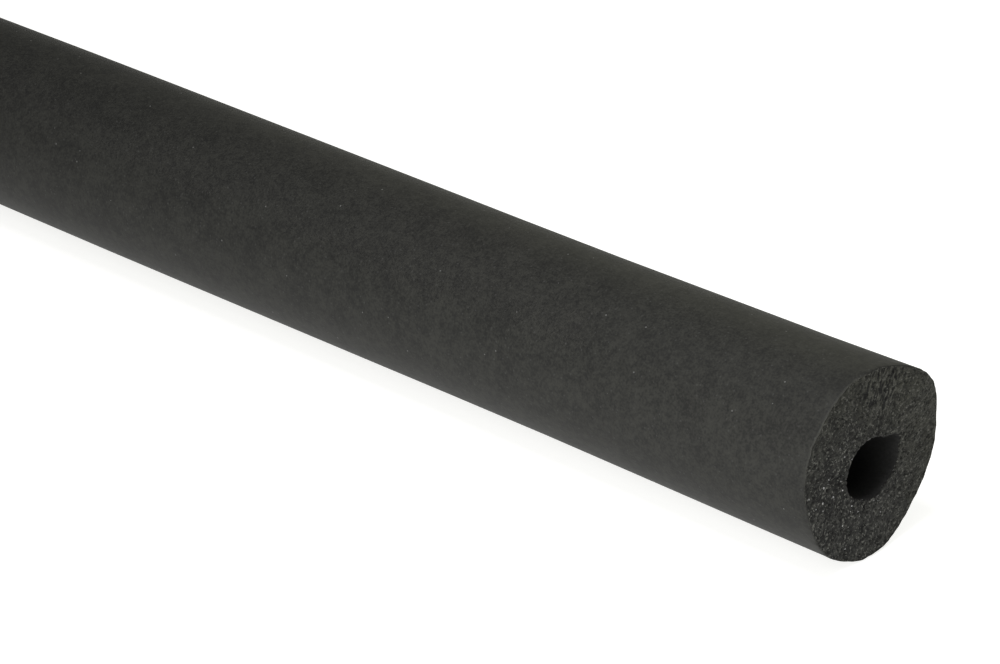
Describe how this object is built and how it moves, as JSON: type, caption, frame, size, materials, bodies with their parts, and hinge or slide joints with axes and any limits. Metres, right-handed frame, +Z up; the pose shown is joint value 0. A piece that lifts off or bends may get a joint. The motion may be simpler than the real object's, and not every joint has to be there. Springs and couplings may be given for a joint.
{
  "type": "pipe insulation lagging",
  "caption": "Straight black foam rubber tube with a through bore, slid over a pipe to insulate it. One end is cut by hand in a shallow saddle, the other is square.",
  "frame": {"origin": "middle of the length, on the surface that the tube lies on, under the skin's axis", "axes": "+X along the tube towards the hand-cut end, +Z up, +Y across"},
  "size_m": [1, 0.041, 0.041],
  "materials": {
    "black_foam_rubber": "matte black closed-cell foam rubber, with a fine grained skin and open cut cells on both ends"
  },
  "bodies": {
    "root": {"foam_tube": "black_foam_rubber"}
  },
  "joints": []
}
